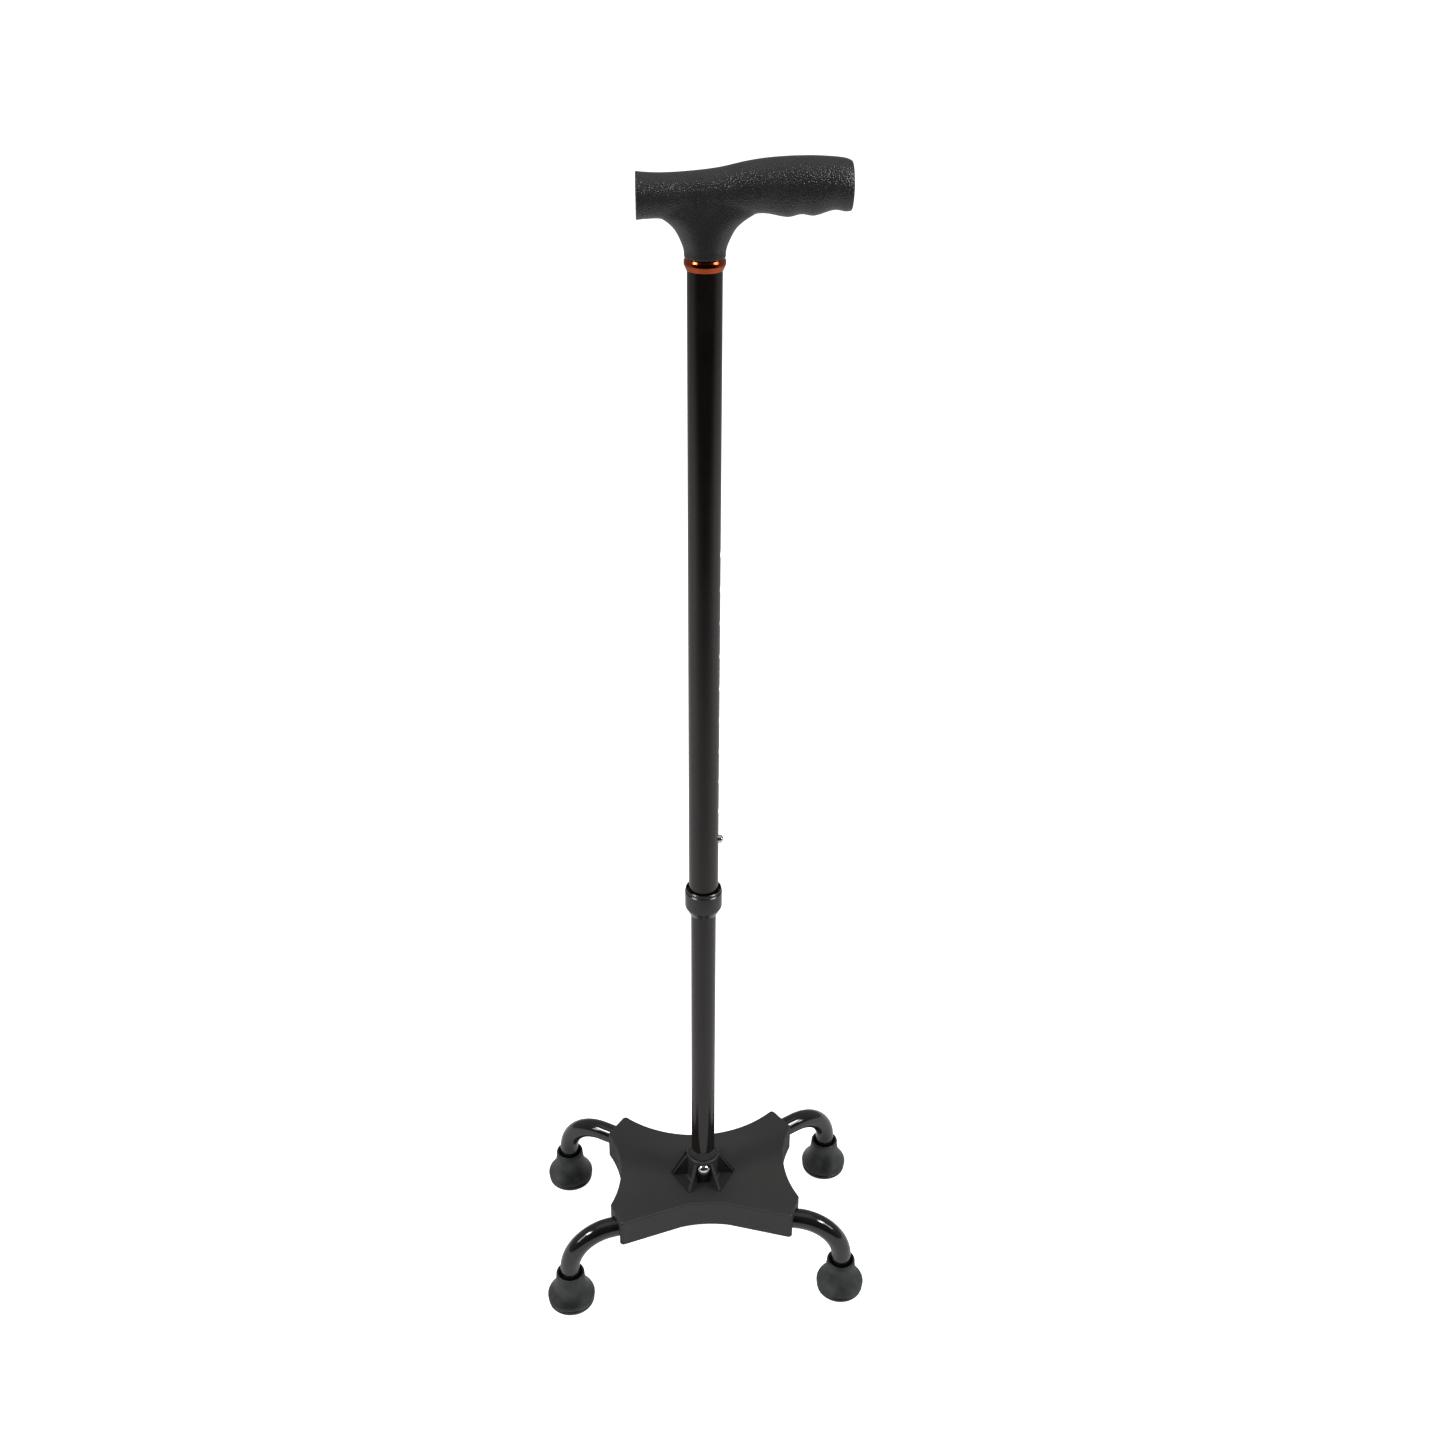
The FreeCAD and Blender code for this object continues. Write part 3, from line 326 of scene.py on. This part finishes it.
FINISHES = {  # name, two shades, roughness range, grains per metre, grain depth in metres
    "lock_plastic": plain_finish(
        "satin_charcoal_nylon", ((0.016, 0.016, 0.016), (0.022, 0.022, 0.022)),
        (0.13, 0.22), 2200, 0.00002),
    "inner_plastic": plain_finish(
        "natural_acetal", ((0.55, 0.55, 0.52), (0.62, 0.62, 0.59)),
        (0.35, 0.45), 900, 0.00003),
    "bright_steel": plain_finish(
        "polished_steel", ((0.72, 0.72, 0.73), (0.8, 0.8, 0.8)),
        (0.12, 0.2), 1500, 0.00001, Metallic=1),
    "spring_steel": plain_finish(
        "tempered_strip", ((0.4, 0.4, 0.42), (0.5, 0.5, 0.5)),
        (0.25, 0.38), 1200, 0.00002, Metallic=1),
    "plate_steel": plain_finish(
        "black_powder_coat", ((0.012, 0.012, 0.012), (0.02, 0.02, 0.02)),
        (0.35, 0.5), 1800, 0.0001),
    "disc_steel": plain_finish(
        "zinc_plate", ((0.5, 0.51, 0.52), (0.6, 0.6, 0.58)),
        (0.3, 0.42), 400, 0.00002, Metallic=1),
    "grip_insert": plain_finish(
        "smooth_black_nylon", ((0.016, 0.016, 0.016), (0.022, 0.022, 0.022)),
        (0.3, 0.42), 1600, 0.00003),
    "cover_plastic": plain_finish(
        "textured_charcoal_moulding", ((0.022, 0.022, 0.0213), (0.028, 0.0278, 0.0268)),
        (0.5, 0.6), 1700, 0.00008, patch=12.0),
    "foot_rubber": plain_finish(
        "dark_grey_rubber", ((0.008, 0.009, 0.0095), (0.046, 0.05, 0.05)),
        (0.36, 0.6), 1300, 0.0001, patch=60.0),
    "leg_paint": plain_finish(
        "gloss_black_paint", ((0.006, 0.006, 0.006), (0.009, 0.009, 0.009)),
        (0.08, 0.13), 380, 0.000012, Coat_Weight=0.4, Coat_Roughness=0.05),
    "ring_copper": plain_finish(
        "copper_red_anodise", ((0.36, 0.062, 0.022), (0.42, 0.078, 0.03)),
        (0.1, 0.16), 1500, 0.00001, Metallic=1),
    "tube_black": plain_finish(
        "black_anodise", ((0.005, 0.0042, 0.0038), (0.008, 0.0065, 0.0058)),
        (0.14, 0.2), 900, 0.000003, Specular_Tint=(1, 0.92, 0.91, 1)),
}
print("finishes:", sorted(FINISHES))

# %% [markdown]
# ## The grip's pebble grain
# The grip is moulded in a tool etched with a leather pattern: low pebbles about a millimetre
# across with narrow valleys between. A cell pattern bent by a little noise gives the pebbles.
# They glint on top, so the roughness falls with height. The neck is nearly smooth: a mask on
# the height fades the pebbles there, in the grip's own coordinates, so it moves with the grip.

# %% Make the pebbled finish
PEBBLES_PER_METRE, PEBBLE_RISE, PEBBLE_BEND = 930, 0.00021, 0.0008
NECK_FADE = (0.858, 0.882, 0.25, 1.0)  # heights in metres, and the share of the pebbles at each


def pebbled_finish():
    """Black moulding with a leather grain that fades down the neck."""
    material, tree, shader, place = blank_finish("pebbled_black_moulding")
    bend = add_noise(tree, place, 500, 2)
    shift = tree.nodes.new("ShaderNodeVectorMath")
    shift.operation = "MULTIPLY_ADD"
    shift.inputs[1].default_value = (PEBBLE_BEND,) * 3
    tree.links.new(bend.outputs["Color"], shift.inputs[0])
    tree.links.new(place, shift.inputs[2])
    cells = tree.nodes.new("ShaderNodeTexVoronoi")
    cells.feature = "SMOOTH_F1"
    cells.inputs["Scale"].default_value = PEBBLES_PER_METRE
    cells.inputs["Smoothness"].default_value = 0.25
    tree.links.new(shift.outputs[0], cells.inputs["Vector"])
    height = tree.nodes.new("ShaderNodeMath")
    height.operation = "MULTIPLY"
    pebble = add_range(tree, cells.outputs["Distance"], 0.15, 0.62, 1.0, 0.0)
    above_neck = add_range(tree, split_axis(tree, place, "Z"), *NECK_FADE)
    tree.links.new(pebble, height.inputs[0])
    tree.links.new(above_neck, height.inputs[1])
    texture = add_effect(tree, GRAIN_GROUP, place, Grain=2600.0, Patch=45.0)
    shade = add_shades(tree, texture.outputs["Tone"], (0.021, 0.021, 0.021), (0.028, 0.028, 0.028))
    tree.links.new(shade, shader.inputs["Base Color"])
    tree.links.new(add_range(tree, height.outputs[0], 0, 1, 0.34, 0.17), shader.inputs["Roughness"])
    add_bump(tree, shader, height.outputs[0], PEBBLE_RISE)
    return material


FINISHES["grip_moulding"] = pebbled_finish()
print("pebbled finish ready")

# %% [markdown]
# ## Tools for round and softened pieces
# The ring, the collar nut and the feet are turned shapes. Each starts as an outline of radius and
# height, which a full spin carries round the axis. Real mouldings have no knife edges, so a bevel
# rounds every edge that is sharper than a set angle, and each rounded edge then catches a thin
# line of light.

# %% Spin, soften and place a piece
ROUND_STEPS = 112


def spun(outline, place=AXIS, steps=ROUND_STEPS):
    """A turned shape from (radius, height) pairs in millimetres; the outline closes itself."""
    shape = bmesh.new()
    corners = [shape.verts.new((radius * MM, 0, height * MM)) for radius, height in outline]
    sides = [shape.edges.new(pair) for pair in zip(corners, corners[1:] + corners[:1])]
    bmesh.ops.spin(shape, geom=corners + sides, axis=(0, 0, 1), cent=(0, 0, 0), angle=math.tau,
                   steps=steps, use_merge=True)
    bmesh.ops.remove_doubles(shape, verts=shape.verts, dist=0.01 * MM)
    bmesh.ops.recalc_face_normals(shape, faces=shape.faces)
    bmesh.ops.translate(shape, verts=shape.verts, vec=place)
    return shape


def soften(shape, width, sharper_than=24, segments=3):
    """Rounds each edge where two faces meet at more than an angle; width is in millimetres."""
    shape.normal_update()
    sharp = [edge for edge in shape.edges
             if edge.is_manifold and edge.calc_face_angle(0) > math.radians(sharper_than)]
    bmesh.ops.bevel(shape, geom=sharp, offset=width * MM, offset_type="OFFSET", affect="EDGES",
                    segments=segments, profile=0.5, material=-1, clamp_overlap=True)


def add_piece(name, shape, body, slot, *stands_for, crisp=40):
    """Makes a mesh object from a bmesh, dresses it, and lets it ride on its body.

    Edges where two faces meet at more than the crisp angle, in degrees, are shaded as edges.
    """
    mesh = bpy.data.meshes.new(name)
    shape.to_mesh(mesh)
    shape.free()
    mesh.shade_smooth()
    mesh.set_sharp_from_angle(angle=math.radians(crisp))
    piece = bpy.data.objects.new(name, mesh)
    bpy.context.scene.collection.objects.link(piece)
    mesh.materials.append(FINISHES[slot])
    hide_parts(*stands_for)
    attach(piece, body)
    print(name, len(mesh.polygons), "faces")


def heights(node):
    """Foot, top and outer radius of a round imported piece, in millimetres."""
    low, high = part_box(node)
    return low[2] / MM, high[2] / MM, (high[0] - low[0]) / 2 / MM


# %% [markdown]
# ## The ring under the grip
# A turned aluminium ring hides the joint between the grip and the tube. Its band is upright and
# shows the dim room, so it looks dark red. Its lower edge is cut back to a wide chamfer that
# faces the pale floor and shines orange, and a narrow chamfer above catches the two lamps. The
# same metal gives all three, once the shape is right.

# %% Turn the ring
ring_foot, ring_top, ring_radius = heights("neck_ring")
tube_radius = heights("upper_tube")[2]
CHAMFER_IN, CHAMFER_UP = 1.4, 3.4
SHOULDER_IN, SHOULDER_FOOT, SHOULDER_TOP = 0.7, 1.9, 0.6
ring = spun([
    (tube_radius, ring_foot),
    (ring_radius - CHAMFER_IN, ring_foot),
    (ring_radius, ring_foot + CHAMFER_UP),
    (ring_radius, ring_top - SHOULDER_FOOT),
    (ring_radius - SHOULDER_IN, ring_top - SHOULDER_TOP),
    (ring_radius - SHOULDER_IN, ring_top),
    (tube_radius, ring_top),
])
soften(ring, 0.08, sharper_than=15)
add_piece("neck_ring_turned", ring, "telescope", "ring_copper", "neck_ring", crisp=12)

# %% [markdown]
# ## The collar nut
# The nut that locks the height has a chamfered lip round its top, a fine groove under the lip, a
# plain barrel with a chamfered shoulder and a short taper down to the inner tube. Inside it is
# bored for the thread and narrows to the cone that squeezes the split ring. A dark gap shows
# between the lip and the tube.

# %% Turn the collar nut
nut_foot, nut_top, nut_radius = heights("lock_nut")
throat = heights("lower_tube")[2] + 0.3
TAPER_FOOT, SEAT_FOOT, THREAD_BORE = 10.3, 10.6, 12.6
nut = spun([
    # up the outside: taper, barrel, shoulder, groove and lip
    (throat, nut_foot),
    (TAPER_FOOT, nut_foot),
    (nut_radius - 0.3, nut_foot + 6.4),
    (nut_radius, nut_foot + 7.2),
    (nut_radius, nut_top - 3.2),
    (nut_radius - 0.8, nut_top - 2.4),
    (nut_radius - 1.1, nut_top - 2.4),
    (nut_radius - 1.1, nut_top - 1.9),
    (nut_radius - 0.5, nut_top - 1.8),
    (nut_radius - 0.5, nut_top - 0.75),
    (nut_radius - 1.2, nut_top),
    # down the inside: thread, cone seat and throat
    (THREAD_BORE, nut_top),
    (THREAD_BORE, nut_foot + 6.3),
    (SEAT_FOOT, nut_foot + 2.3),
    (throat, nut_foot + 1.3),
])
soften(nut, 0.08)
add_piece("lock_nut_turned", nut, "nut", "lock_plastic", "lock_nut", crisp=12)

# %% [markdown]
# ## The rubber feet
# Each leg ends in a bell-shaped rubber tip: a neck that grips the tube, a long flare, a rounded
# rim and a sole with ring-shaped treads. The mouth of the neck opens in a small funnel, which
# leaves the dark crescent beside the leg. One outline serves all four; only the place changes.

# %% Turn the feet
FOOT_STEPS = 88
FOOT_OUTLINE = [
    (8.0, 8.0), (0, 8.0), (0, 1.2), (5.2, 1.2), (5.2, 0.0), (8.2, 0.0), (8.2, 1.4), (11.2, 1.4),
    (11.2, 0.0), (14.1, 0.0), (14.1, 1.4), (15.6, 1.4), (15.6, 0.0), (17.6, 0.0), (18.7, 0.9),
    (19.05, 2.2), (18.95, 3.6), (17.9, 4.1), (17.9, 4.7), (19.1, 5.2), (19.5, 6.4),
    (19.45, 7.8), (18.9, 9.2), (17.9, 10.6), (16.7, 12.2), (15.4, 14.3), (14.3, 16.6),
    (13.3, 19.2), (12.55, 22.0), (12.1, 25.0), (11.8, 28.0), (11.65, 30.9), (11.25, 31.7),
    (10.7, 32.0), (9.9, 31.9), (9.1, 30.6), (8.05, 28.6),
]
for corner in ("front_left", "front_right", "back_left", "back_right"):
    low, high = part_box(f"foot_{corner}")
    middle = Vector(((low[0] + high[0]) / 2, (low[1] + high[1]) / 2, 0))
    foot = spun(FOOT_OUTLINE, middle, FOOT_STEPS)
    soften(foot, 0.3, sharper_than=38, segments=2)
    add_piece(f"rubber_foot_{corner}", foot, "base", "foot_rubber", f"foot_{corner}")

# %% [markdown]
# ## The grip
# The grip is one moulding: a bar with finger grooves that flares down into a round neck. A stack
# of ellipses bridged into a skin gives the bar, and a second stack gives the neck. The two skins
# overlap, so a voxel remesh fuses them into one, and smoothing only the vertices round the joint
# gives the wide soft blend that the hand feels. Both ends are left open as shallow pockets.

# %% Describe the grip's sections
# Along the bar: place, top, underside and half width
BAR = [
    (-41.3, 896.4, 868.4, 13.6), (-38.0, 895.9, 868.9, 13.3), (-26.0, 895.4, 869.4, 12.9),
    (-10.0, 896.2, 869.6, 12.9), (8.0, 898.2, 870.0, 13.1), (24.0, 901.6, 871.4, 13.9),
    (36.0, 903.4, 871.8, 14.6), (49.4, 904.4, 869.6, 15.2), (57.2, 904.6, 871.2, 15.2),
    (65.0, 904.6, 870.3, 15.2), (77.0, 903.9, 873.6, 14.7), (84.0, 902.9, 872.6, 14.4),
    (87.3, 901.4, 873.0, 13.8),
]
# Up the neck: height, half length along the bar and half width
NECK = [
    (846.3, 12.7, 12.7), (850.5, 12.9, 12.75), (856.0, 14.9, 13.3), (863.4, 19.0, 13.9),
    (868.0, 24.2, 13.9), (872.0, 30.6, 13.6), (880.0, 35.0, 12.9), (884.0, 35.5, 12.6),
]


def between(rows, place):
    """The row of sizes at a place, on a smooth curve through the given rows."""
    last = len(rows) - 2
    i = max(k for k in range(last + 1) if k == 0 or rows[k][0] <= place)
    before, start, end, after = rows[max(i - 1, 0)], rows[i], rows[i + 1], rows[min(i + 2, last + 1)]
    span = end[0] - start[0]
    t = (place - start[0]) / span
    sizes = []
    for a, b, c, d in zip(before[1:], start[1:], end[1:], after[1:]):
        rise_in = (c - a) / (end[0] - before[0]) * span
        rise_out = (d - b) / (after[0] - start[0]) * span
        sizes.append((2 * t**3 - 3 * t**2 + 1) * b + (t**3 - 2 * t**2 + t) * rise_in
                     + (3 * t**2 - 2 * t**3) * c + (t**3 - t**2) * rise_out)
    return sizes


def add_ring(shape, half_x, half_y, matrix, cap=False):
    """An ellipse of vertices, drawn flat and then moved by a matrix; returns its edges."""
    ring_verts = bmesh.ops.create_circle(shape, cap_ends=cap, segments=96, radius=1)["verts"]
    bmesh.ops.scale(shape, verts=ring_verts, vec=(half_x * MM, half_y * MM, 1))
    bmesh.ops.transform(shape, verts=ring_verts, matrix=matrix)
    members = set(ring_verts)
    return [edge for edge in {e for v in ring_verts for e in v.link_edges}
            if edge.verts[0] in members and edge.verts[1] in members]


def bridge_all(shape, rings):
    """Joins each ring of edges to the next with a strip of faces."""
    for first, second in zip(rings, rings[1:]):
        bmesh.ops.bridge_loops(shape, edges=first + second)


# %% Loft the bar and the neck
UPRIGHT = Matrix.Rotation(math.radians(90), 4, "Y")
HEEL, PALM = BAR[0][0], BAR[-1][0]
HEEL_POCKET, PALM_POCKET, POCKET_DEPTH, POCKET_LIP = 12.2, 12.6, 1.7, 0.1
BAR_STEPS, NECK_STEPS = 86, 24
grip = bmesh.new()


def bar_ring(place, middle, half_height, half_width, cap=False):
    """A ring across the bar at a place along it."""
    spot = Matrix.Translation(AXIS + Vector((place, 0, middle)) * MM)
    return add_ring(grip, half_height, half_width, spot @ UPRIGHT, cap)


heel_middle = (BAR[0][1] + BAR[0][2]) / 2
palm_middle = (BAR[-1][1] + BAR[-1][2]) / 2
rings = [bar_ring(HEEL + POCKET_DEPTH, heel_middle, HEEL_POCKET, HEEL_POCKET, cap=True),
         bar_ring(HEEL + POCKET_LIP, heel_middle, HEEL_POCKET, HEEL_POCKET)]
for step in range(BAR_STEPS + 1):
    place = HEEL + (PALM - HEEL) * step / BAR_STEPS
    top, underside, half_width = between(BAR, place)
    rings.append(bar_ring(place, (top + underside) / 2, (top - underside) / 2, half_width))
rings.append(bar_ring(PALM - POCKET_LIP, palm_middle, PALM_POCKET, PALM_POCKET))
rings.append(bar_ring(PALM - POCKET_DEPTH, palm_middle, PALM_POCKET, PALM_POCKET, cap=True))
bridge_all(grip, rings)

rings = []
for step in range(NECK_STEPS + 1):
    height = NECK[0][0] + (NECK[-1][0] - NECK[0][0]) * step / NECK_STEPS
    half_length, half_width = between(NECK, height)
    spot = Matrix.Translation(AXIS + Vector((0, 0, height * MM)))
    rings.append(add_ring(grip, half_length, half_width, spot, cap=step in (0, NECK_STEPS)))
bridge_all(grip, rings)
bmesh.ops.recalc_face_normals(grip, faces=grip.faces)
print("grip skins:", len(grip.faces), "faces")

# %% Fuse the skins and soften the joint
VOXEL = 0.6
BLEND_STARTS, BLEND_ENDS, BLEND_REACH = 851.0, 880.0, 39.0
BLEND_ROUNDS, POLISH_ROUNDS = 26, 3


def smooth(shape, verts, factor, rounds):
    """Moves each vertex part of the way to the middle of its neighbours, several times."""
    for _ in range(rounds):
        bmesh.ops.smooth_vert(shape, verts=verts, factor=factor,
                              use_axis_x=True, use_axis_y=True, use_axis_z=True)


rough_mesh = bpy.data.meshes.new("grip_skins")
grip.to_mesh(rough_mesh)
grip.free()
rough = bpy.data.objects.new("grip_skins", rough_mesh)
bpy.context.scene.collection.objects.link(rough)
fuse = rough.modifiers.new("fuse", "REMESH")
fuse.mode = "VOXEL"
fuse.voxel_size = VOXEL * MM
depsgraph = bpy.context.evaluated_depsgraph_get()
fused_mesh = bpy.data.meshes.new_from_object(rough.evaluated_get(depsgraph))
bpy.data.objects.remove(rough)

grip = bmesh.new()
grip.from_mesh(fused_mesh)
joint = [vert for vert in grip.verts
         if BLEND_STARTS * MM < vert.co.z < BLEND_ENDS * MM
         and abs(vert.co.x - AXIS.x) < BLEND_REACH * MM]
smooth(grip, joint, 0.5, BLEND_ROUNDS)
smooth(grip, grip.verts, 0.4, POLISH_ROUNDS)
print("smoothed", len(joint), "vertices round the joint of", len(grip.verts))
add_piece("grip_moulded", grip, "telescope", "grip_moulding", "handle_grip")

# %% [markdown]
# ## The insert that shows at the grip's ends
# Inside the grip is a stiff insert: a bar along the grip, a boss that takes the tube, and a round
# disc that closes each end. Only the discs are ever seen. Each is a short cylinder whose rim is
# rounded and whose face sits a little way inside the soft lip of the moulding.

# %% Build the insert
insert = bmesh.new()


def add_rod(shape, start, end, radius, edge=0.0):
    """A closed cylinder between two points in millimetres from the axis; edge rounds its rims."""
    run = Vector(end) - Vector(start)
    turn = run.to_track_quat("Z", "Y").to_matrix().to_4x4()
    spot = Matrix.Translation(AXIS + (Vector(start) + Vector(end)) / 2 * MM) @ turn
    rod = bmesh.ops.create_cone(shape, cap_ends=True, segments=72, radius1=radius * MM,
                                radius2=radius * MM, depth=run.length * MM, matrix=spot)["verts"]
    if edge:
        ends = {f for v in rod for f in v.link_faces if len(f.verts) > 4}
        rims = list({e for f in ends for e in f.edges})
        bmesh.ops.bevel(shape, geom=rims, offset=edge * MM, offset_type="OFFSET", affect="EDGES",
                        segments=3, profile=0.5, material=-1, clamp_overlap=True)


ROD_HEIGHT, ROD_RADIUS = 883.6, 8.5
BOSS_FOOT, BOSS_TOP, BOSS_RADIUS = 864.0, 886.0, 11.6
DISC_GAP, DISC_EDGE = 0.35, 0.5
add_rod(insert, (HEEL + 1.0, 0, ROD_HEIGHT), (PALM - 1.0, 0, ROD_HEIGHT), ROD_RADIUS)
add_rod(insert, (0, 0, BOSS_FOOT), (0, 0, BOSS_TOP), BOSS_RADIUS)
add_rod(insert, (HEEL + DISC_GAP, 0, heel_middle), (HEEL + POCKET_DEPTH, 0, heel_middle),
        HEEL_POCKET - DISC_GAP, DISC_EDGE)
add_rod(insert, (PALM - POCKET_DEPTH, 0, palm_middle), (PALM - DISC_GAP, 0, palm_middle),
        PALM_POCKET - DISC_GAP, DISC_EDGE)
add_piece("grip_insert", insert, "telescope", "grip_insert", "handle_core")

# %% [markdown]
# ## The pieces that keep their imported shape
# The tubes, the legs, the cover and the hidden hardware already have their true shapes, down to
# the holes and the ribs, so each only needs a finish.

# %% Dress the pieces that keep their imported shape
def dress(node, finish):
    """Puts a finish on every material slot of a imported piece."""
    for slot in nodes[node].material_slots:
        slot.material = finish


KEPT = {
    "tube_black": ["upper_tube", "lower_tube"],
    "lock_plastic": ["thread_sleeve"],
    "inner_plastic": ["glide_plug", "clamp_ring"],
    "bright_steel": ["snap_button", "hub_bolt", "hub_washer", "hub_nut"],
    "spring_steel": ["snap_spring"],
    "plate_steel": ["base_plate", "shaft_socket"],
    "disc_steel": ["foot_discs"],
    "cover_plastic": ["base_cover"],
    "leg_paint": ["leg_front_left", "leg_front_right", "leg_back_left", "leg_back_right"],
}
for finish_name, wearers in KEPT.items():
    for wearer in wearers:
        dress(wearer, FINISHES[finish_name])
print("dressed", sum(len(wearers) for wearers in KEPT.values()), "packed pieces")
